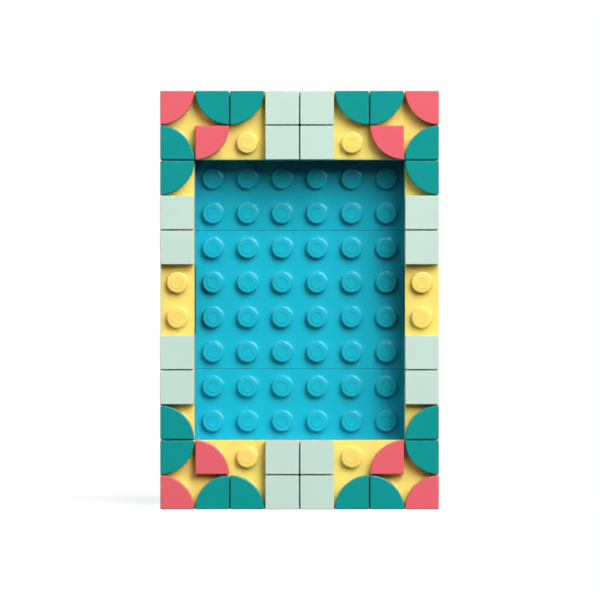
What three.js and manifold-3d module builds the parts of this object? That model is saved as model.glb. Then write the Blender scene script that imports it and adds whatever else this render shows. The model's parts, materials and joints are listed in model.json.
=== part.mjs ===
// A picture frame built from interlocking toy bricks, eight modules wide and twelve high: a studded
// floor of three plates, brick walls one brick deep around a recess, a rim of plates, and flat tiles on
// the rim. A hinged prop leg folds against the back. Millimetres; the frame stands on z = 0, its front
// faces -Y, and the origin is under the middle of the whole.
import * as THREE from "three";
import { mergeVertices } from "three/addons/utils/BufferGeometryUtils.js";
import Module from "manifold-3d";

const wasm = await Module();
wasm.setup();

// The brick system.
const PITCH = 8;
const PLATE_HEIGHT = 3.2;
const BRICK_HEIGHT = 9.6;
const STUD_RADIUS = 2.4;
const STUD_HEIGHT = 1.8;
const TUBE_RADIUS = 3.25;
const TUBE_BORE_RADIUS = 2.4;
const POST_RADIUS = 1.6;
const WALL = 1.5;
const ROOF = 1.2;
const SIDE_GAP = 0.1;
const REST_GAP = 0.05;
const ROUND_SIDES = 8;

// The frame, in modules.
const COLUMNS = 8;
const ROWS = 12;
const BASE_PLATE_ROWS = 4;
const RIM_ROWS = 2;
const SIDE_ROWS = ROWS - 2 * RIM_ROWS;

// The quarter-round tiles.
const ARC_SIDES = 8;
const STUD_POCKET_RADIUS = 2.65;

// The prop leg and its hinge. Rows are counted from the top, as on the whole frame.
const HINGE_COLUMNS = 2;
const FIXED_HINGE_FIRST_ROW = 4;
const HINGE_AXIS_ROW = 6;
const LEG_FIRST_ROW = 7;
const LEG_ROWS = 6;
const HINGE_PLATE_ROWS = 2;
const KNUCKLE_RADIUS = 2.3;
const KNUCKLE_SIDES = 16;
const KNUCKLE_SETBACK = 2.4;
const KNUCKLE_ARM = [0.6, 3.1];
const PIN_RADIUS = 1.2;
const PIN_BORE_RADIUS = 1.3;
const PIN_SIDES = 12;
const MIDDLE_FINGER_HALF = 3.8;
const OUTER_FINGER = [4.0, 7.0];
const PIN_END = 6.8;

// Layers, measured forward from the back of the base plates.
const WALL_BASE = PLATE_HEIGHT;
const RIM_BASE = WALL_BASE + BRICK_HEIGHT;
const TILE_BASE = RIM_BASE + PLATE_HEIGHT;
const FRONT = TILE_BASE + PLATE_HEIGHT;
const LEG_DEPTH = 2 * PLATE_HEIGHT + STUD_HEIGHT;
const HALF_HEIGHT = (ROWS * PITCH) / 2 - SIDE_GAP;

const plastic = (name, colour) =>
  new THREE.MeshStandardMaterial({ name, color: colour, roughness: 0.28, metalness: 0 });
const MATERIALS = {
  azure: plastic("azure", "#22b4ca"),
  yellow: plastic("yellow", "#fbdf78"),
  coral: plastic("coral", "#ee6a73"),
  teal: plastic("teal", "#179a94"),
  mint: plastic("mint", "#c9e4d6"),
  dark: plastic("dark", "#202428"),
};

// Turns a closed geometry into a solid that can be joined and cut.
function solid(geometry) {
  geometry.deleteAttribute("normal");
  geometry.deleteAttribute("uv");
  const merged = mergeVertices(geometry, 1e-4);
  const mesh = new wasm.Mesh({
    numProp: 3,
    vertProperties: merged.attributes.position.array,
    triVerts: Uint32Array.from(merged.index.array),
  });
  return new wasm.Manifold(mesh);
}

// Turns a solid back into a geometry.
function geometryOf(body) {
  const mesh = body.getMesh();
  const geometry = new THREE.BufferGeometry();
  geometry.setAttribute("position", new THREE.BufferAttribute(mesh.vertProperties, 3));
  geometry.setIndex(new THREE.BufferAttribute(mesh.triVerts, 1));
  geometry.computeVertexNormals();
  return geometry;
}

// An outline in X and Y, raised from z = low to z = high.
function raised(shape, low, high) {
  const geometry = new THREE.ExtrudeGeometry(shape, { depth: high - low, bevelEnabled: false });
  return geometry.translate(0, 0, low);
}

function box(halfX, halfY, low, high) {
  const shape = new THREE.Shape();
  shape.moveTo(-halfX, -halfY);
  shape.lineTo(halfX, -halfY);
  shape.lineTo(halfX, halfY);
  shape.lineTo(-halfX, halfY);
  return solid(raised(shape, low, high));
}

// A regular prism about an axis along Z, with a flat side towards +X.
function prism(radius, sides, low, high, x = 0, y = 0) {
  const points = Array.from({ length: sides }, (_, i) => {
    const angle = ((i + 0.5) / sides) * 2 * Math.PI;
    return new THREE.Vector2(x + radius * Math.cos(angle), y + radius * Math.sin(angle));
  });
  return solid(raised(new THREE.Shape(points), low, high));
}

// A prism about an axis along X, from x = start to x = end, at height z.
function crossPrism(radius, sides, start, end, y, z) {
  const turn = new THREE.Matrix4().makeRotationY(Math.PI / 2);
  const shift = new THREE.Matrix4().makeTranslation(0, y, z);
  const matrix = shift.multiply(turn);
  return prism(radius, sides, start, end).transform(matrix.toArray());
}

// The middles of a grid of modules about the origin.
function gridPoints(columns, rows) {
  const points = [];
  for (let column = 0; column < columns; column += 1) {
    for (let row = 0; row < rows; row += 1) {
      points.push([(column - (columns - 1) / 2) * PITCH, (row - (rows - 1) / 2) * PITCH]);
    }
  }
  return points;
}

const joined = (solids) => wasm.Manifold.union(solids);

// A studded plate or brick with an open underside: tubes between the studs it grips, or posts where it
// is one module wide.
function block(columns, rows, height) {
  const halfX = (columns * PITCH) / 2 - SIDE_GAP;
  const halfY = (rows * PITCH) / 2 - SIDE_GAP;
  const ceiling = height - ROOF;
  const below = -1;
  const inRoof = height - ROOF / 2;
  const shell = box(halfX, halfY, REST_GAP, height);
  const hollow = box(halfX - WALL, halfY - WALL, below, ceiling);
  const studs = gridPoints(columns, rows).map(([x, y]) =>
    prism(STUD_RADIUS, ROUND_SIDES, inRoof, height + STUD_HEIGHT, x, y));
  const narrow = Math.min(columns, rows) === 1;
  const grips = narrow ? gridPoints(Math.max(columns - 1, 1), Math.max(rows - 1, 1))
    : gridPoints(columns - 1, rows - 1);
  const gripRadius = narrow ? POST_RADIUS : TUBE_RADIUS;
  const gripSolids = grips.map(([x, y]) =>
    prism(gripRadius, ROUND_SIDES, REST_GAP, inRoof, x, y));
  const body = joined([shell.subtract(hollow), ...studs, ...gripSolids]);
  if (narrow) {
    return body;
  }
  const bores = grips.map(([x, y]) => prism(TUBE_BORE_RADIUS, ROUND_SIDES, below, ceiling, x, y));
  return body.subtract(joined(bores));
}

// A one-module tile with a smooth top and a square pocket for the stud.
function squareTile() {
  const half = PITCH / 2 - SIDE_GAP;
  const pocket = box(half - WALL, half - WALL, -1, PLATE_HEIGHT - ROOF);
  return box(half, half, REST_GAP, PLATE_HEIGHT).subtract(pocket);
}

// A tile in the shape of a quarter disc, with its square corner towards -X and -Y. The stud it grips
// just reaches the curved side, so the pocket is open there.
function quarterTile() {
  const half = PITCH / 2 - SIDE_GAP;
  const radius = 2 * half;
  const shape = new THREE.Shape();
  shape.moveTo(-half, -half);
  for (let i = 0; i <= ARC_SIDES; i += 1) {
    const angle = ((i / ARC_SIDES) * Math.PI) / 2;
    shape.lineTo(-half + radius * Math.cos(angle), -half + radius * Math.sin(angle));
  }
  const pocket = prism(STUD_POCKET_RADIUS, ROUND_SIDES, -1, PLATE_HEIGHT - ROOF);
  return solid(raised(shape, REST_GAP, PLATE_HEIGHT)).subtract(pocket);
}

// The arm and round end of one hinge finger, on the side of the plate that the arm reaches from.
function finger(start, end, plateEdge, axisY) {
  const [armNear, armFar] = KNUCKLE_ARM;
  const knuckle = crossPrism(KNUCKLE_RADIUS, KNUCKLE_SIDES, start, end, axisY, -KNUCKLE_SETBACK);
  const into = plateEdge + Math.sign(plateEdge - axisY) * (WALL / 2);
  const arm = box((end - start) / 2, Math.abs(into - axisY) / 2, -armFar, -armNear);
  return knuckle.add(arm.translate((start + end) / 2, (into + axisY) / 2, 0));
}

// Heights of row middles and of module edges above the foot of the frame.
const rowMiddle = (row) => HALF_HEIGHT + ((ROWS + 1) / 2 - row) * PITCH;
const rowsMiddle = (first, count) => rowMiddle(first + (count - 1) / 2);
const columnMiddle = (column) => (column - (COLUMNS + 1) / 2) * PITCH;

// The half of the hinge that plugs into the base plates, with two outer fingers. Its upper side is at
// z = 0.
function fixedHinge() {
  const middle = rowsMiddle(FIXED_HINGE_FIRST_ROW, HINGE_PLATE_ROWS);
  const axisY = rowMiddle(HINGE_AXIS_ROW);
  const edge = middle - (HINGE_PLATE_ROWS * PITCH) / 2 + SIDE_GAP;
  const [inner, outer] = OUTER_FINGER;
  const plate = block(HINGE_COLUMNS, HINGE_PLATE_ROWS, PLATE_HEIGHT).translate(0, middle, -PLATE_HEIGHT);
  const fingers = [finger(-outer, -inner, edge, axisY), finger(inner, outer, edge, axisY)];
  const bore = crossPrism(PIN_BORE_RADIUS, PIN_SIDES, -PITCH, PITCH, axisY, -KNUCKLE_SETBACK);
  return joined([plate, ...fingers]).subtract(bore);
}

// The half of the hinge that carries the leg, with one middle finger and its two pins.
function swingingHinge() {
  const middle = rowsMiddle(LEG_FIRST_ROW, HINGE_PLATE_ROWS);
  const axisY = rowMiddle(HINGE_AXIS_ROW);
  const edge = middle + (HINGE_PLATE_ROWS * PITCH) / 2 - SIDE_GAP;
  const plate = block(HINGE_COLUMNS, HINGE_PLATE_ROWS, PLATE_HEIGHT).rotate([0, 180, 0]);
  return joined([
    plate.translate(0, middle, 0),
    finger(-MIDDLE_FINGER_HALF, MIDDLE_FINGER_HALF, edge, axisY),
    crossPrism(PIN_RADIUS, PIN_SIDES, -PIN_END, PIN_END, axisY, -KNUCKLE_SETBACK),
  ]);
}

// The frame lies flat on its back in this group, and the group is turned upright.
const upright = new THREE.Group();
upright.rotation.x = Math.PI / 2;
upright.position.y = (FRONT - LEG_DEPTH) / 2;

function place(name, body, material, x, y, z, turn = 0) {
  const mesh = new THREE.Mesh(geometryOf(body), MATERIALS[material].clone());
  mesh.name = name;
  mesh.position.set(x, y, z);
  mesh.rotation.z = turn;
  upright.add(mesh);
}

function addBase() {
  ["top", "middle", "bottom"].forEach((name, i) => {
    const y = rowsMiddle(1 + i * BASE_PLATE_ROWS, BASE_PLATE_ROWS);
    place(`base_plate_${name}`, block(COLUMNS, BASE_PLATE_ROWS, PLATE_HEIGHT), "azure", 0, y, 0);
  });
}

// Two long bricks across the top and two across the foot, and three narrow ones up each side.
function addWalls() {
  const half = COLUMNS / 2;
  const sideBricks = [["upper", 3, "azure"], ["middle", 2, "dark"], ["lower", 3, "azure"]];
  for (const [side, sign] of [["left", -1], ["right", 1]]) {
    const x = (sign * half * PITCH) / 2;
    for (const [end, row] of [["top", 1], ["bottom", ROWS - RIM_ROWS + 1]]) {
      const y = rowsMiddle(row, RIM_ROWS);
      place(`wall_brick_${end}_${side}`, block(half, RIM_ROWS, BRICK_HEIGHT), "azure", x, y, WALL_BASE);
    }
    let row = RIM_ROWS + 1;
    for (const [name, count, colour] of sideBricks) {
      const body = block(1, count, BRICK_HEIGHT);
      const sideX = sign * columnMiddle(COLUMNS);
      place(`side_brick_${side}_${name}`, body, colour, sideX, rowsMiddle(row, count), WALL_BASE);
      row += count;
    }
  }
}

function addRim() {
  for (const [end, row] of [["top", 1], ["bottom", ROWS - RIM_ROWS + 1]]) {
    const y = rowsMiddle(row, RIM_ROWS);
    place(`rim_plate_${end}`, block(COLUMNS, RIM_ROWS, PLATE_HEIGHT), "yellow", 0, y, RIM_BASE);
  }
  for (const [side, column] of [["left", 1], ["right", COLUMNS]]) {
    const y = rowsMiddle(RIM_ROWS + 1, SIDE_ROWS);
    const body = block(1, SIDE_ROWS, PLATE_HEIGHT);
    place(`rim_plate_${side}`, body, "yellow", columnMiddle(column), y, RIM_BASE);
  }
}

// The tiles on the upper left quarter of the rim: colour, column, row and, for a quarter-round tile,
// the way its square corner points. The other three quarters mirror it.
const TILE_QUARTER = [
  ["coral", 1, 1, [-1, 1]],
  ["teal", 2, 1, [1, 1]],
  ["teal", 3, 1, [-1, 1]],
  ["mint", 4, 1, null],
  ["teal", 1, 2, [-1, -1]],
  ["coral", 2, 2, [-1, 1]],
  ["mint", 4, 2, null],
  ["teal", 1, 3, [-1, 1]],
  ["mint", 1, 4, null],
  ["mint", 1, 5, null],
];

function addTiles() {
  for (const [mirrorX, mirrorY] of [[1, 1], [-1, 1], [1, -1], [-1, -1]]) {
    for (const [colour, fromLeft, fromTop, corner] of TILE_QUARTER) {
      const column = mirrorX > 0 ? fromLeft : COLUMNS + 1 - fromLeft;
      const row = mirrorY > 0 ? fromTop : ROWS + 1 - fromTop;
      const name = `${corner ? "quarter" : "square"}_tile_${colour}_column${column}_row${row}`;
      const body = corner ? quarterTile() : squareTile();
      const turn = corner
        ? Math.atan2(mirrorY * corner[1], mirrorX * corner[0]) - Math.atan2(-1, -1)
        : 0;
      place(name, body, colour, columnMiddle(column), rowMiddle(row), TILE_BASE, turn);
    }
  }
}

function addPropLeg() {
  const legY = rowsMiddle(LEG_FIRST_ROW, LEG_ROWS);
  const leg = block(HINGE_COLUMNS, LEG_ROWS, PLATE_HEIGHT).rotate([0, 180, 0]);
  place("hinge_plate_fixed", fixedHinge(), "dark", 0, 0, 0);
  place("hinge_plate_swinging", swingingHinge(), "dark", 0, 0, 0);
  place("prop_leg", leg, "azure", 0, legY, -PLATE_HEIGHT);
}

addBase();
addWalls();
addRim();
addTiles();
addPropLeg();

const group = new THREE.Group();
group.add(upright);
export default group;
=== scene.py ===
import json
import math

import bmesh
import bpy
from mathutils import Matrix, Vector


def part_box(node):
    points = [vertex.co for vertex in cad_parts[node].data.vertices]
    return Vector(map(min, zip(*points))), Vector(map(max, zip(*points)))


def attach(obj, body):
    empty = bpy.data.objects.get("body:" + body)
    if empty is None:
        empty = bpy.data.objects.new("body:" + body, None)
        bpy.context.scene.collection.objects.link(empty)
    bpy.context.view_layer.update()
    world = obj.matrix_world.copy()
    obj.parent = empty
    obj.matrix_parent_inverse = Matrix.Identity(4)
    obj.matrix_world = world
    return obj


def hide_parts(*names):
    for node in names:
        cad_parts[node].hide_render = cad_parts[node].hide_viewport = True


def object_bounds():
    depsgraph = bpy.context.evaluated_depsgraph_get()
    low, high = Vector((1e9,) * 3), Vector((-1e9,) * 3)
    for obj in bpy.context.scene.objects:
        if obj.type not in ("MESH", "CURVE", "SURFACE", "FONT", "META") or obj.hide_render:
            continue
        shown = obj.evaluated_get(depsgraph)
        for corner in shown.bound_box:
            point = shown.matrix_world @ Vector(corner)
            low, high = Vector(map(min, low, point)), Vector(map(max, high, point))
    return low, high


# A picture frame built from interlocking toy bricks. Each CAD piece is replaced by a finely moulded
# one: rounded studs, tubes, posts, softened edges and grooved tiles. Piece shapes are worked out in
# millimetres, flat on their backs (u to the right, v up the frame, w out of the front), and are then
# stood up, in metres, where the CAD pieces stand.
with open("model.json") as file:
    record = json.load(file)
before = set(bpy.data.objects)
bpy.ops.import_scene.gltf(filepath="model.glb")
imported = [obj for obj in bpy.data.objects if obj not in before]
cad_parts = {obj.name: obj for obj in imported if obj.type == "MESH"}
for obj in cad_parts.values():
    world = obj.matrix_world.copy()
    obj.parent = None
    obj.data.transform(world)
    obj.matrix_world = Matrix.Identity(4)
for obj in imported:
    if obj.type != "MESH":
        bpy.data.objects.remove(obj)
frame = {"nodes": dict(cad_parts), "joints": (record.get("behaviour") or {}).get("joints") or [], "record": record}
CAD_LOW, CAD_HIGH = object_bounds()
MM = 0.001

# The brick system, in millimetres.
PITCH = 8.0
PLATE_HEIGHT = 3.2
SIDE_GAP = 0.1
REST_GAP = 0.05
DRAFT = 0.02
WALL = 1.5
ROOF = 1.2
STUD_RADIUS = 2.4
STUD_HEIGHT = 1.8
TUBE_RADIUS = 3.25
TUBE_BORE = 2.4
POST_RADIUS = 1.6

# Softened edges and small moulded details.
BLOCK_EDGE = 0.16
FOOT_EDGE = 0.12
HOLLOW_EDGE = 0.2
STUD_FOOT = 0.2
STUD_EDGE = 0.25
MARK_HEIGHT = 0.1
MARK_RING = (1.05, 1.12, 1.38, 1.45)
TILE_GAP = 0.14
TILE_CORE = 0.25
SQUARE_TILE_EDGE = 0.16
QUARTER_TILE_EDGE = 0.25
TILE_GROOVE_HEIGHT = 0.4
TILE_GROOVE_DEPTH = 0.2
GROOVE_EDGE = FOOT_EDGE / 2
POCKET_RADIUS = 2.45
POCKET_EDGE = 0.15
POCKET_OVERSHOOT = 1.0

# How finely round shapes are divided. The smallest circle on a flat round face has the radius of the
# face divided by CENTRE_PART, and the one on a post's foot has POST_CENTRE.
SIDE_STEPS = 12
CORNER_STEPS = 4
EDGE_STEPS = 4
ARC_STEPS = 28
CENTRE_PART = 3
POST_CENTRE = 0.4

# Turns around an outline count its sides, and its first corner is at the lowest u and v.
FULL_TURN = 4.0
CORNER_SHARE = 0.1
FIRST_CORNER = 0.75 * math.pi


# --- Shapes ---------------------------------------------------------------------------------------

def next_turn(turns, k):
    """The turn of the point after point k: a full turn after the last, and endless past that."""
    if k + 1 < len(turns):
        return turns[k + 1]
    return FULL_TURN if k < len(turns) else math.inf


class Shell:
    """The points and faces of one closed surface. Points at the same place are shared."""

    def __init__(self):
        self.points = []
        self.faces = []
        self.index = {}

    def point(self, place):
        key = tuple(round(value, 4) for value in place)
        if key not in self.index:
            self.index[key] = len(self.points)
            self.points.append(place)
        return self.index[key]

    def face(self, *corners):
        found = []
        for corner in corners:
            index = self.point(corner)
            if index not in found:
                found.append(index)
        if len(found) > 2:
            self.faces.append(found)

    def strip(self, first, second):
        """Four-sided faces between two closed loops with as many points."""
        for i in range(len(first)):
            j = (i + 1) % len(first)
            self.face(first[i], first[j], second[j], second[i])

    def strips(self, loops):
        for first, second in zip(loops, loops[1:]):
            self.strip(first, second)

    def seam(self, first, second, first_turns, second_turns):
        """Triangles between two closed loops, each point having its own turn."""
        i = j = 0
        while i < len(first) or j < len(second):
            a, b = first[i % len(first)], second[j % len(second)]
            if next_turn(first_turns, i) <= next_turn(second_turns, j):
                self.face(a, first[(i + 1) % len(first)], b)
                i += 1
            else:
                self.face(a, second[(j + 1) % len(second)], b)
                j += 1

    def mesh(self, name):
        made = bpy.data.meshes.new(name)
        made.from_pydata(self.points, [], self.faces)
        work = bmesh.new()
        work.from_mesh(made)
        bmesh.ops.recalc_face_normals(work, faces=work.faces)
        work.to_mesh(made)
        work.free()
        return made


def quarter_turn():
    """(sine, cosine) at even steps from 0 to 90 degrees, both ends included."""
    angles = [math.pi / 2 * k / EDGE_STEPS for k in range(EDGE_STEPS + 1)]
    return [(math.sin(angle), math.cos(angle)) for angle in angles]


class Outline:
    """A convex outline. Each point has its outward normal, and its turn, which counts the sides."""

    def __init__(self):
        self.points = []
        self.turns = []

    def add(self, u, v, angle, turn):
        self.points.append((u, v, math.cos(angle), math.sin(angle)))
        self.turns.append(turn)

    def ring(self, grow, w):
        """The outline grown by that much, with its corners rounded to that radius, at height w."""
        return [(u + grow * nu, v + grow * nv, w) for u, v, nu, nv in self.points]


def rectangle(marks_u, marks_v):
    """An outline through the marks on its sides, from the corner at the lowest u and v."""
    sides = [
        [(u, marks_v[0]) for u in marks_u],
        [(marks_u[-1], v) for v in marks_v],
        [(u, marks_v[-1]) for u in reversed(marks_u)],
        [(marks_u[0], v) for v in reversed(marks_v)],
    ]
    outline = Outline()
    for number, side in enumerate(sides):
        normal = (number - 1) * math.pi / 2
        for k, (u, v) in enumerate(side):
            share = k / (len(side) - 1) * (1 - CORNER_SHARE)
            outline.add(u, v, normal, number + share)
        for k in range(1, CORNER_STEPS):
            share = 1 - CORNER_SHARE + CORNER_SHARE * k / CORNER_STEPS
            outline.add(*side[-1], normal + math.pi / 2 * k / CORNER_STEPS, number + share)
    return outline


def marks_of(spans):
    """The places that divide a row of spans: those around a round feature are divided finely."""
    marks = [spans[0][0]]
    for start, end, middle in spans:
        steps = 1 if middle is None else SIDE_STEPS
        marks += [start + (end - start) * k / steps for k in range(1, steps + 1)]
    return marks


def circle(u, v, radius, w):
    """A circle of points, the first of them towards the corner at the lowest u and v."""
    count = 4 * SIDE_STEPS
    angles = [2 * math.pi * k / count - FIRST_CORNER for k in range(count)]
    return [(u + radius * math.cos(a), v + radius * math.sin(a), w) for a in angles]


def sheet(shell, spans_u, spans_v, w, profile):
    """A flat sheet at height w. Where two spans with middles cross, a round feature stands on it,
    whose profile is a list of (radius, height) from its foot to near its middle."""
    for span_u in spans_u:
        for span_v in spans_v:
            marks_u, marks_v = marks_of([span_u]), marks_of([span_v])
            if span_u[2] is None or span_v[2] is None:
                for a, b in zip(marks_u, marks_u[1:]):
                    for c, d in zip(marks_v, marks_v[1:]):
                        shell.face((a, c, w), (b, c, w), (b, d, w), (a, d, w))
                continue
            border = [(u, marks_v[0], w) for u in marks_u[:-1]]
            border += [(marks_u[-1], v, w) for v in marks_v[:-1]]
            border += [(u, marks_v[-1], w) for u in marks_u[:0:-1]]
            border += [(marks_u[0], v, w) for v in marks_v[:0:-1]]
            middle = (span_u[2], span_v[2])
            loops = [border] + [circle(*middle, radius, height) for radius, height in profile]
            shell.strips(loops)
            top = loops[-1]
            for i, place in enumerate(top):
                shell.face(place, top[(i + 1) % len(top)], (*middle, profile[-1][1]))


def stud_profile(base):
    """A stud on a face at height base: a small fillet, a rounded edge and a plain raised ring."""
    top = base + STUD_HEIGHT - MARK_HEIGHT
    quarter = quarter_turn()
    inner, inner_top, outer_top, outer = MARK_RING
    foot = [(STUD_RADIUS + STUD_FOOT * (1 - s), base + STUD_FOOT * (1 - c)) for s, c in quarter]
    edge = [(STUD_RADIUS - STUD_EDGE * (1 - c), top - STUD_EDGE * (1 - s)) for s, c in quarter]
    raised = top + MARK_HEIGHT
    mark = [(outer, top), (outer_top, raised), (inner_top, raised), (inner, top)]
    return foot + edge + mark + [(inner / CENTRE_PART, top)]


def tube_profile(ceiling, foot):
    """A hollow tube hanging from the ceiling to the foot of a plate or brick."""
    edge = FOOT_EDGE
    outside = [(TUBE_RADIUS, ceiling), (TUBE_RADIUS, foot + edge), (TUBE_RADIUS - edge, foot)]
    inside = [(TUBE_BORE + edge, foot), (TUBE_BORE, foot + edge), (TUBE_BORE, ceiling)]
    return outside + inside + [(TUBE_BORE / CENTRE_PART, ceiling)]


def post_profile(ceiling, foot):
    """A solid post under a row of studs that is one stud wide."""
    edge = FOOT_EDGE
    side = [(POST_RADIUS, ceiling), (POST_RADIUS, foot + edge)]
    return side + [(POST_RADIUS - edge, foot), (POST_CENTRE, foot)]


def stud_spans(count, low_gap, high_gap):
    """One span for each stud in a row, trimmed by those gaps to the flat of the top face."""
    start = -count * PITCH / 2
    spans = []
    for k in range(count):
        low = start + k * PITCH
        first, last = max(low, start + low_gap), min(low + PITCH, -start - high_gap)
        spans.append((first, last, low + PITCH / 2))
    return spans


def grip_spans(count, low_gap, high_gap):
    """Spans under a row of studs: one about each tube or post, and a plain one at each end."""
    half = count * PITCH / 2
    if count == 1:
        return [(low_gap - half, half - high_gap, 0.0)]
    reach = half - PITCH / 2
    spans = [(low_gap - half, -reach, None)]
    for k in range(count - 1):
        low = -reach + k * PITCH
        spans.append((low, low + PITCH, low + PITCH / 2))
    return spans + [(reach, half - high_gap, None)]


def hollow_walls(outline, ceiling):
    """The loops of the walls of a hollow under a piece, from its open foot to its ceiling."""
    foot = REST_GAP
    walls = [outline.ring(HOLLOW_EDGE + FOOT_EDGE, foot), outline.ring(HOLLOW_EDGE, foot + FOOT_EDGE)]
    return walls + [outline.ring(HOLLOW_EDGE * c, ceiling - HOLLOW_EDGE * (1 - s))
                    for s, c in quarter_turn()]


def block_shell(columns, rows, height, ends=(SIDE_GAP, SIDE_GAP), sides=(SIDE_GAP, SIDE_GAP)):
    """A studded plate or brick with its underside open, standing on w = 0. ends are the gaps left at
    its lowest and highest v, and sides those at its lowest and highest u."""
    shell = Shell()
    foot, ceiling = REST_GAP, height - ROOF
    top_in = DRAFT + BLOCK_EDGE
    spans_u = stud_spans(columns, sides[0] + top_in, sides[1] + top_in)
    spans_v = stud_spans(rows, ends[0] + top_in, ends[1] + top_in)
    sheet(shell, spans_u, spans_v, height, stud_profile(height))
    outer = rectangle(marks_of(spans_u), marks_of(spans_v))
    quarter = quarter_turn()
    loops = [outer.ring(BLOCK_EDGE * s, height - BLOCK_EDGE * (1 - c)) for s, c in quarter]
    loops += [outer.ring(BLOCK_EDGE + DRAFT - FOOT_EDGE * (1 - c), foot + FOOT_EDGE * (1 - s))
              for s, c in quarter]
    shell.strips(loops)

    hollow_in = WALL + HOLLOW_EDGE
    spans_u = grip_spans(columns, sides[0] + hollow_in, sides[1] + hollow_in)
    spans_v = grip_spans(rows, ends[0] + hollow_in, ends[1] + hollow_in)
    grip = post_profile if min(columns, rows) == 1 else tube_profile
    sheet(shell, spans_u, spans_v, ceiling, grip(ceiling, foot))
    inner = rectangle(marks_of(spans_u), marks_of(spans_v))
    walls = hollow_walls(inner, ceiling)
    shell.strips(walls)
    shell.seam(loops[-1], walls[0], outer.turns, inner.turns)
    return shell


def tile_sides(outline, edge):
    """The loops of a tile's outside, from its flat top to its foot, with the groove along its foot.
    edge is the radius of the rounding about its top."""
    foot, top = REST_GAP, PLATE_HEIGHT
    loops = [outline.ring(0, top)]
    loops += [outline.ring(TILE_CORE - edge * (1 - s), top - edge * (1 - c))
              for s, c in quarter_turn()]
    groove = TILE_CORE - TILE_GROOVE_DEPTH
    loops += [outline.ring(TILE_CORE, foot + TILE_GROOVE_HEIGHT + FOOT_EDGE)]
    loops += [outline.ring(TILE_CORE - GROOVE_EDGE, foot + TILE_GROOVE_HEIGHT)]
    return loops + [outline.ring(groove, foot + TILE_GROOVE_HEIGHT), outline.ring(groove, foot)]


def square_tile_shell():
    """A square tile with a pocket under it for the stud that it grips."""
    shell = Shell()
    half = PITCH / 2 - TILE_GAP
    core = half - TILE_CORE
    outside = tile_sides(rectangle([-core, core], [-core, core]), SQUARE_TILE_EDGE)
    shell.strips(outside)
    shell.face(*outside[0])
    pocket_core = half - WALL - HOLLOW_EDGE
    pocket = rectangle([-pocket_core, pocket_core], [-pocket_core, pocket_core])
    walls = hollow_walls(pocket, PLATE_HEIGHT - ROOF)
    shell.strips(walls)
    shell.face(*walls[-1])
    shell.strip(outside[-1], walls[0])
    return shell


def quarter_outline():
    """A quarter disc with its square corner towards -u and -v, drawn in by the core of its edges."""
    half = PITCH / 2 - TILE_GAP
    radius = 2 * half - TILE_CORE
    tilt = math.asin(TILE_CORE / radius)
    flat = -half + TILE_CORE
    far = -half + radius * math.cos(tilt)
    outline = Outline()
    corners = [
        ((flat, flat), math.pi, 1.5 * math.pi),
        ((far, flat), -math.pi / 2, tilt),
        ((flat, far), math.pi / 2 - tilt, math.pi),
    ]
    for number, (place, start, end) in enumerate(corners):
        for k in range(CORNER_STEPS + 1):
            outline.add(*place, start + (end - start) * k / CORNER_STEPS, number)
        if number == 1:
            for k in range(1, ARC_STEPS):
                angle = tilt + (math.pi / 2 - 2 * tilt) * k / ARC_STEPS
                u, v = -half + radius * math.cos(angle), -half + radius * math.sin(angle)
                outline.add(u, v, angle, number)
    return outline


def drum(radius, low, high, edge):
    """A solid disc or pin along w, its ends softened by edge."""
    shell = Shell()
    loops = [circle(0, 0, radius - edge, low), circle(0, 0, radius, low + edge)]
    loops += [circle(0, 0, radius, high - edge), circle(0, 0, radius - edge, high)]
    shell.strips(loops)
    shell.face(*loops[0])
    shell.face(*loops[-1])
    return shell


def combined(body, operation, tool):
    """The mesh of body joined with tool, or cut by it."""
    parts = [bpy.data.objects.new("shape", mesh) for mesh in (body, tool)]
    for part in parts:
        bpy.context.scene.collection.objects.link(part)
    boolean = parts[0].modifiers.new("shape", "BOOLEAN")
    boolean.operation, boolean.solver, boolean.object = operation, "EXACT", parts[1]
    shaped = parts[0].evaluated_get(bpy.context.evaluated_depsgraph_get())
    result = bpy.data.meshes.new_from_object(shaped)
    for part in parts:
        mesh = part.data
        bpy.data.objects.remove(part)
        bpy.data.meshes.remove(mesh)
    return result


def quarter_tile_mesh():
    """A quarter-round tile. The stud it grips just reaches the curved side, so its pocket is open
    there."""
    shell = Shell()
    outside = tile_sides(quarter_outline(), QUARTER_TILE_EDGE)
    shell.strips(outside)
    shell.face(*outside[0])
    shell.face(*outside[-1])
    pocket = drum(POCKET_RADIUS, REST_GAP - POCKET_OVERSHOOT, PLATE_HEIGHT - ROOF, POCKET_EDGE)
    return combined(shell.mesh("quarter_tile"), "DIFFERENCE", pocket.mesh("pocket"))


# --- The hinge ------------------------------------------------------------------------------------

KNUCKLE_RADIUS = 2.3
KNUCKLE_SETBACK = 2.4
ARM_NEAR, ARM_FAR = 0.6, 3.1
FINGER_EDGE = 0.25
PIN_RADIUS = 1.2
PIN_EDGE = 0.15
PIN_BORE = 1.28
MIDDLE_FINGER_HALF = 3.8
OUTER_FINGER = (4.0, 7.0)
PIN_END = 6.8
AXIS_TO_EDGE = PITCH / 2 + SIDE_GAP
TURNED_BACK = Matrix.Rotation(math.pi, 4, "Y")


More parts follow.
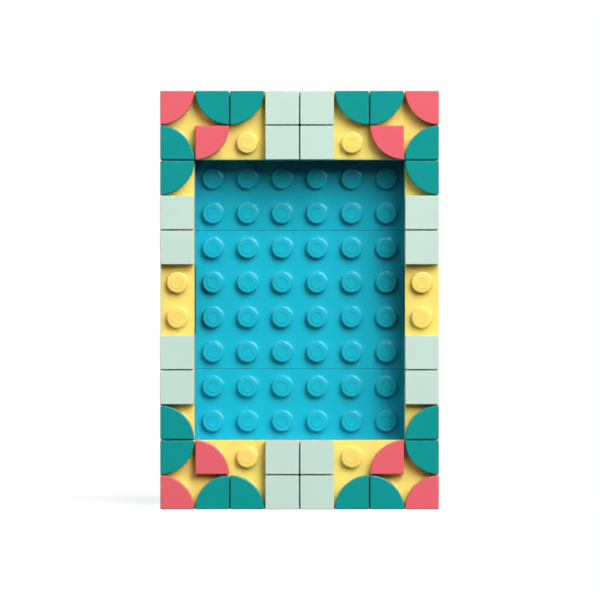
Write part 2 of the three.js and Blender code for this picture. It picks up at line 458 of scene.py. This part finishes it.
def finger_mesh(start, end, side):
    """A hinge finger about the axis u, from u = start to u = end, reaching into the plate on that
    side of it, 1 above and -1 below."""
    into = AXIS_TO_EDGE + WALL / 2
    upper, lower = KNUCKLE_SETBACK - ARM_NEAR, KNUCKLE_SETBACK - ARM_FAR
    first, last = math.asin(upper / KNUCKLE_RADIUS), 2 * math.pi + math.asin(lower / KNUCKLE_RADIUS)
    around = [first + (last - first) * k / ARC_STEPS for k in range(ARC_STEPS + 1)]
    section = [(into, upper, 0.0, 1.0)]
    section += [(KNUCKLE_RADIUS * math.cos(a), KNUCKLE_RADIUS * math.sin(a), math.cos(a), math.sin(a))
                for a in around]
    section += [(into, lower, 0.0, -1.0)]
    quarter = quarter_turn()
    stations = [(start + FINGER_EDGE * (1 - c), FINGER_EDGE * (1 - s)) for s, c in quarter]
    stations += [(end - FINGER_EDGE * (1 - c), FINGER_EDGE * (1 - s)) for s, c in quarter[::-1]]
    loops = [[(u, side * (y - inset * ny), z - inset * nz) for y, z, ny, nz in section]
             for u, inset in stations]
    shell = Shell()
    shell.strips(loops)
    shell.face(*loops[0])
    shell.face(*loops[-1])
    return shell.mesh("finger")


def cross_pin_mesh(radius, half_length, edge):
    """A round pin along the hinge's axis."""
    pin = drum(radius, -half_length, half_length, edge).mesh("pin")
    pin.transform(Matrix.Rotation(math.pi / 2, 4, "Y"))
    return pin


def hinge_mesh(fixed):
    """A hinge plate about its axis at the origin: the fixed one above it has two outer fingers with
    a bore, and the swinging one below has a middle finger with two pins."""
    plate = block_shell(2, 2, PLATE_HEIGHT).mesh("hinge")
    rise = AXIS_TO_EDGE + PITCH - SIDE_GAP
    if fixed:
        plate.transform(Matrix.Translation((0, rise, KNUCKLE_SETBACK - PLATE_HEIGHT)))
        for start, end in (OUTER_FINGER, [-x for x in OUTER_FINGER[::-1]]):
            plate = combined(plate, "UNION", finger_mesh(start, end, 1))
        return combined(plate, "DIFFERENCE", cross_pin_mesh(PIN_BORE, PITCH, 0))
    plate.transform(TURNED_BACK)
    plate.transform(Matrix.Translation((0, -rise, KNUCKLE_SETBACK)))
    plate = combined(plate, "UNION", finger_mesh(-MIDDLE_FINGER_HALF, MIDDLE_FINGER_HALF, -1))
    return combined(plate, "UNION", cross_pin_mesh(PIN_RADIUS, PIN_END, PIN_EDGE))


# --- Plastic --------------------------------------------------------------------------------------

def linear(hex_colour):
    """A colour as the shader wants it, from its six hexadecimal digits."""
    values = [int(hex_colour[k:k + 2], 16) / 255 for k in (1, 3, 5)]
    return [v / 12.92 if v < 0.04045 else ((v + 0.055) / 1.055) ** 2.4 for v in values]


PLASTICS = {
    "azure": "#1ab1c7",
    "yellow": "#ffdd7a",
    "coral": "#e6656f",
    "teal": "#0f9490",
    "mint": "#c4ddd1",
    "dark": "#202428",
}

# The gloss of the plastic, the range of its roughness on front and back faces, and on all others.
COMMON_FINISH = {"gloss": 0.7, "polish": (0.10, 0.17), "side_polish": (0.7, 0.8)}
DARK_FINISH = {"gloss": 0.2, "polish": (0.3, 0.4), "side_polish": (0.8, 0.9)}
IOR = 1.54
FRONT_FACING, SIDE_FACING = 0.6, 0.1

# The patterns of the plastic: their scales per metre, how finely they are detailed, how they are
# stretched, and how far they reach. The noise keeps mostly between NOISE_LOW and NOISE_HIGH.
NOISE_LOW, NOISE_HIGH = 0.3, 0.7
NOISE_ROUGHNESS = 0.55
NOISE_TILT = (0.4, 0.3, 0.7)
FLOW_SCALE, FLOW_DETAIL, FLOW_STRETCH = 140, 3, (1, 1, 0.4)
FLOW_DARKEST, FLOW_LIGHTEST = 0.985, 1.01
POLISH_SCALE, POLISH_DETAIL = 420, 4
WAVE_SCALE, WAVE_DETAIL, WAVE_STRENGTH, WAVE_HEIGHT = 260, 2, 0.2, 0.00001
SCRATCH_SCALE, SCRATCH_DETAIL, SCRATCH_STRETCH = 900, 2, (14, 1, 1)
SCRATCH_STRENGTH, SCRATCH_DEPTH = 0.15, 0.000002


def plastic(name, colour, gloss, polish, side_polish):
    """Moulded ABS: a glossy skin with faint flow marks in its colour, uneven polish, the slight
    waves of a moulded face, and fine handling scratches."""
    material = bpy.data.materials.new(f"{name}_plastic")
    material.use_nodes = True
    tree = material.node_tree
    shader = tree.nodes["Principled BSDF"]
    shader.inputs["IOR"].default_value = IOR
    shader.inputs["Specular IOR Level"].default_value = gloss

    def node(kind, **inputs):
        made = tree.nodes.new(kind)
        for key, value in inputs.items():
            made.inputs[key.replace("_", " ")].default_value = value
        return made

    coordinates = tree.nodes.new("ShaderNodeTexCoord")

    def noise(scale, detail, stretch=None):
        made = node("ShaderNodeTexNoise", Scale=scale, Detail=detail, Roughness=NOISE_ROUGHNESS)
        source = coordinates.outputs["Object"]
        if stretch:
            mapping = node("ShaderNodeMapping", Scale=stretch, Rotation=NOISE_TILT)
            tree.links.new(source, mapping.inputs["Vector"])
            source = mapping.outputs["Vector"]
        tree.links.new(source, made.inputs["Vector"])
        return made.outputs["Fac"]

    def spread(value, low, high):
        made = tree.nodes.new("ShaderNodeMapRange")
        made.inputs["From Min"].default_value = NOISE_LOW
        made.inputs["From Max"].default_value = NOISE_HIGH
        made.inputs["To Min"].default_value = low
        made.inputs["To Max"].default_value = high
        tree.links.new(value, made.inputs["Value"])
        return made.outputs["Result"]

    base = linear(colour)
    flow = tree.nodes.new("ShaderNodeMix")
    flow.data_type = "RGBA"
    flow.inputs["A"].default_value = (*[FLOW_DARKEST * v for v in base], 1)
    flow.inputs["B"].default_value = (*[min(1.0, FLOW_LIGHTEST * v) for v in base], 1)
    streaks = noise(FLOW_SCALE, FLOW_DETAIL, FLOW_STRETCH)
    tree.links.new(spread(streaks, 0, 1), flow.inputs["Factor"])
    tree.links.new(flow.outputs["Result"], shader.inputs["Base Color"])

    split = tree.nodes.new("ShaderNodeSeparateXYZ")
    tree.links.new(coordinates.outputs["Normal"], split.inputs["Vector"])
    facing = tree.nodes.new("ShaderNodeMath")
    facing.operation = "ABSOLUTE"
    tree.links.new(split.outputs["Y"], facing.inputs[0])
    side = tree.nodes.new("ShaderNodeMapRange")
    side.inputs["From Min"].default_value = FRONT_FACING
    side.inputs["From Max"].default_value = SIDE_FACING
    tree.links.new(facing.outputs["Value"], side.inputs["Value"])
    roughness = tree.nodes.new("ShaderNodeMix")
    tree.links.new(side.outputs["Result"], roughness.inputs["Factor"])
    for values, socket in ((polish, "A"), (side_polish, "B")):
        tree.links.new(spread(noise(POLISH_SCALE, POLISH_DETAIL), *values), roughness.inputs[socket])
    tree.links.new(roughness.outputs["Result"], shader.inputs["Roughness"])

    waves = node("ShaderNodeBump", Strength=WAVE_STRENGTH, Distance=WAVE_HEIGHT)
    tree.links.new(noise(WAVE_SCALE, WAVE_DETAIL), waves.inputs["Height"])
    scratches = node("ShaderNodeBump", Strength=SCRATCH_STRENGTH, Distance=SCRATCH_DEPTH)
    scratch_noise = noise(SCRATCH_SCALE, SCRATCH_DETAIL, SCRATCH_STRETCH)
    tree.links.new(scratch_noise, scratches.inputs["Height"])
    tree.links.new(waves.outputs["Normal"], scratches.inputs["Normal"])
    tree.links.new(scratches.outputs["Normal"], shader.inputs["Normal"])
    return material


MATERIALS = {}
for name, colour in PLASTICS.items():
    finish = DARK_FINISH if name == "dark" else COMMON_FINISH
    MATERIALS[name] = plastic(name, colour, **finish)

# The yellow plastic lets a little light through, which softens and warms the shadows on it.
TRANSLUCENCY = 0.6
LIGHT_DEPTH = 0.001
LIGHT_DEPTH_SHARES = (2.0, 1.0, 0.12)
yellow_shader = MATERIALS["yellow"].node_tree.nodes["Principled BSDF"]
yellow_shader.inputs["Subsurface Weight"].default_value = TRANSLUCENCY
yellow_shader.inputs["Subsurface Scale"].default_value = LIGHT_DEPTH
yellow_shader.inputs["Subsurface Radius"].default_value = LIGHT_DEPTH_SHARES


# --- Pieces ---------------------------------------------------------------------------------------

STOOD_UP = Matrix(((1, 0, 0, 0), (0, 0, -1, 0), (0, 1, 0, 0), (0, 0, 0, 1)))
SLOTS = {entry["node"]: entry["material_slot"] for entry in frame["record"]["subparts"]}
SHARP_ANGLE = math.radians(48)


def add_piece(node, mesh, place, body):
    """Puts a shape made in millimetres in its place, in millimetres, as the look of a CAD node."""
    mesh.transform(Matrix.Scale(MM, 4) @ Matrix.Translation(place) @ STOOD_UP)
    mesh.name = f"{node}_look"
    mesh.materials.clear()
    mesh.materials.append(MATERIALS[SLOTS[node]])
    mesh.shade_smooth()
    mesh.set_sharp_from_angle(angle=SHARP_ANGLE)
    piece = bpy.data.objects.new(f"{node}_look", mesh)
    bpy.context.scene.collection.objects.link(piece)
    weigh = piece.modifiers.new("weigh", "WEIGHTED_NORMAL")
    weigh.keep_sharp = True
    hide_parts(node)
    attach(piece, body)


def box_mm(node):
    """The lowest and highest corners of a CAD node, in millimetres."""
    low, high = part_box(node)
    return low / MM, high / MM


def add_block(node, body="frame", faces_back=False, ends=(SIDE_GAP, SIDE_GAP),
              sides=(SIDE_GAP, SIDE_GAP)):
    """A plate or brick in the place of a CAD node, its studs to the front or to the back."""
    low, high = box_mm(node)
    columns = round((high.x - low.x) / PITCH)
    rows = round((high.z - low.z) / PITCH)
    height = high.y - low.y - STUD_HEIGHT + REST_GAP
    mesh = block_shell(columns, rows, height, ends, sides).mesh(node)
    if faces_back:
        mesh.transform(TURNED_BACK)
    back = low.y - REST_GAP if faces_back else high.y + REST_GAP
    add_piece(node, mesh, ((low.x + high.x) / 2, back, (low.z + high.z) / 2), body)


def add_tile(node, mesh, turn=0):
    """A copy of a tile in the place of a CAD node, turned about w by that angle."""
    low, high = box_mm(node)
    mesh = mesh.copy()
    mesh.transform(Matrix.Rotation(turn, 4, "Z"))
    add_piece(node, mesh, ((low.x + high.x) / 2, high.y + REST_GAP, (low.z + high.z) / 2), "frame")


def corner_turn(node):
    """How far a quarter tile is turned: its square corner is opposite the one the CAD piece lacks."""
    low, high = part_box(node)
    middle = (low + high) / 2
    points = [vertex.co for vertex in frame["nodes"][node].data.vertices]
    reach = {}
    for side_u in (-1, 1):
        for side_v in (-1, 1):
            reach[side_u, side_v] = max(side_u * (point.x - middle.x) + side_v * (point.z - middle.z)
                                        for point in points)
    side_u, side_v = min(reach, key=reach.get)
    return math.atan2(-side_v, -side_u) - math.atan2(-1, -1)


# The three base plates are pushed together, so that nothing shows through between them, and the side
# bricks fill the gap on the side of the recess.
BASE_ENDS = {
    "base_plate_top": (0, SIDE_GAP),
    "base_plate_middle": (0, 0),
    "base_plate_bottom": (SIDE_GAP, 0),
}
square_tile = square_tile_shell().mesh("square_tile")
quarter_tile = quarter_tile_mesh()
for name in frame["nodes"]:
    if name.startswith("quarter_tile"):
        add_tile(name, quarter_tile, corner_turn(name))
    elif name.startswith("square_tile"):
        add_tile(name, square_tile)
    elif name == "prop_leg":
        add_block(name, "leg", faces_back=True)
    elif name in BASE_ENDS:
        add_block(name, ends=BASE_ENDS[name])
    elif name.startswith("side_brick_left"):
        add_block(name, sides=(SIDE_GAP, 0))
    elif name.startswith("side_brick_right"):
        add_block(name, sides=(0, SIDE_GAP))
    elif not name.startswith("hinge_plate"):
        add_block(name)

hinge = next(joint for joint in frame["joints"] if joint["name"] == "leg_hinge")
hinge_place = Vector(hinge["pos_m"]) / MM
add_piece("hinge_plate_fixed", hinge_mesh(fixed=True), hinge_place, "frame")
add_piece("hinge_plate_swinging", hinge_mesh(fixed=False), hinge_place, "leg")
for spare in (square_tile, quarter_tile):
    bpy.data.meshes.remove(spare)


# --- Floor, light and camera ----------------------------------------------------------------------

FRONT = CAD_LOW.y
MIDDLE = Vector((0.0, FRONT, (CAD_LOW.z + CAD_HIGH.z) / 2))

# The floor shows its own shade up to FADE_START from FADE_MIDDLE and plain white from FADE_END.
FLOOR_HALF = 6.0
FLOOR_SHADE = 0.9
FADE_MIDDLE = (0, 0.06, 0)
FADE_START, FADE_END = 0.02, 0.073


def add_floor():
    """A pale floor that shades off into the white surroundings. It gives no light back, so that the
    recess is lit by the lamps alone."""
    mesh = bpy.data.meshes.new("floor")
    half = FLOOR_HALF
    corners = [(-half, -half, 0), (half, -half, 0), (half, half, 0), (-half, half, 0)]
    mesh.from_pydata(corners, [], [(0, 1, 2, 3)])
    floor = bpy.data.objects.new("floor", mesh)
    bpy.context.scene.collection.objects.link(floor)
    material = bpy.data.materials.new("floor")
    material.use_nodes = True
    tree = material.node_tree
    tree.nodes.clear()
    output = tree.nodes.new("ShaderNodeOutputMaterial")
    mix = tree.nodes.new("ShaderNodeMixShader")
    diffuse = tree.nodes.new("ShaderNodeBsdfDiffuse")
    diffuse.inputs["Color"].default_value = (FLOOR_SHADE, FLOOR_SHADE, FLOOR_SHADE, 1)
    white = tree.nodes.new("ShaderNodeEmission")
    geometry = tree.nodes.new("ShaderNodeNewGeometry")
    length = tree.nodes.new("ShaderNodeVectorMath")
    length.operation = "LENGTH"
    fade = tree.nodes.new("ShaderNodeMapRange")
    fade.interpolation_type = "SMOOTHSTEP"
    fade.inputs["From Min"].default_value = FADE_START
    fade.inputs["From Max"].default_value = FADE_END
    middle = tree.nodes.new("ShaderNodeVectorMath")
    middle.operation = "SUBTRACT"
    middle.inputs[1].default_value = FADE_MIDDLE
    tree.links.new(geometry.outputs["Position"], middle.inputs[0])
    tree.links.new(middle.outputs["Vector"], length.inputs[0])
    tree.links.new(length.outputs["Value"], fade.inputs["Value"])
    tree.links.new(fade.outputs["Result"], mix.inputs["Fac"])
    tree.links.new(diffuse.outputs["BSDF"], mix.inputs[1])
    tree.links.new(white.outputs["Emission"], mix.inputs[2])
    tree.links.new(mix.outputs["Shader"], output.inputs["Surface"])
    mesh.materials.append(material)
    floor.visible_diffuse = False
    floor.visible_glossy = False


def add_world(ambient):
    """Seen as white, but giving only a little light."""
    world = bpy.data.worlds.new("studio")
    world.use_nodes = True
    tree = world.node_tree
    shade = tree.nodes["Background"]
    shade.inputs["Color"].default_value = (1, 1, 1, 1)
    path = tree.nodes.new("ShaderNodeLightPath")
    strength = tree.nodes.new("ShaderNodeMix")
    strength.inputs["A"].default_value = ambient
    strength.inputs["B"].default_value = 1.0
    tree.links.new(path.outputs["Is Camera Ray"], strength.inputs["Factor"])
    tree.links.new(strength.outputs["Result"], shade.inputs["Strength"])
    bpy.context.scene.world = world


def add_lamp(name, place, aim, size, brightness):
    """A flat rectangular lamp. Its brightness is the radiance of its face, in watts per square metre
    and steradian."""
    data = bpy.data.lights.new(name, "AREA")
    data.shape = "RECTANGLE"
    data.size, data.size_y = size
    data.energy = brightness * math.pi * size[0] * size[1]
    lamp = bpy.data.objects.new(name, data)
    lamp.location = place
    lamp.rotation_euler = (Vector(aim) - Vector(place)).to_track_quat("-Z", "Y").to_euler()
    lamp.visible_camera = False
    bpy.context.scene.collection.objects.link(lamp)


FRONT_LAMP_DISTANCE = 1.1


def add_front_lamp(name, right, up, brightness):
    """A lamp square to the front of the frame. right and up are the tangents of the angles between
    which it is seen from the middle of the front."""
    distance = FRONT_LAMP_DISTANCE
    width, height = right[1] - right[0], up[1] - up[0]
    place = MIDDLE + distance * Vector((sum(right) / 2, -1, sum(up) / 2))
    aim = place + Vector((0, 1, 0))
    add_lamp(name, place, aim, (width * distance, height * distance), brightness)


add_floor()
add_world(ambient=0.02)
add_front_lamp("key_middle", right=(0.225, 0.53), up=(0.205, 1.44), brightness=7.9)
add_front_lamp("key", right=(0.11, 1.32), up=(0.205, 1.44), brightness=6.1)
add_front_lamp("fill", right=(-0.8, -0.05), up=(0.205, 1.2), brightness=1.75)
add_lamp("overhead", place=(0, 1.4, 2.4), aim=(0, 0.2, 0), size=(2.0, 2.0), brightness=4.0)
add_lamp("left", place=(-2.2, 0.7, 1.0), aim=MIDDLE, size=(1.2, 1.2), brightness=4.5)
add_lamp("right", place=(2.2, 0.7, 1.0), aim=MIDDLE, size=(1.2, 1.2), brightness=3.0)
add_lamp("behind", place=(0.8, 2.4, 1.2), aim=MIDDLE, size=(1.6, 1.2), brightness=3.6)

# The camera stands a little to the right of and above the middle of the front, and looks at it.
SENSOR = 36.0
NEAREST, FARTHEST = 0.1, 100
CAMERA_DISTANCE = 1.55
CAMERA_RIGHT = math.radians(0.08)
CAMERA_UP = math.radians(0.22)
VIEW_OFFSET = (0.0007, 0.0)
VIEW_WIDTH = 0.1372
camera_data = bpy.data.cameras.new("camera")
camera_data.sensor_width = SENSOR
camera_data.lens = SENSOR * CAMERA_DISTANCE / VIEW_WIDTH
camera_data.clip_start, camera_data.clip_end = NEAREST, FARTHEST
camera = bpy.data.objects.new("camera", camera_data)
camera_way = Vector((math.tan(CAMERA_RIGHT), -1, math.tan(CAMERA_UP)))
camera.location = MIDDLE + CAMERA_DISTANCE * camera_way
camera.rotation_euler = (MIDDLE - camera.location).to_track_quat("-Z", "Y").to_euler()
camera_data.shift_x, camera_data.shift_y = VIEW_OFFSET
bpy.context.scene.collection.objects.link(camera)
bpy.context.scene.camera = camera
bpy.context.scene.view_settings.view_transform = "Standard"
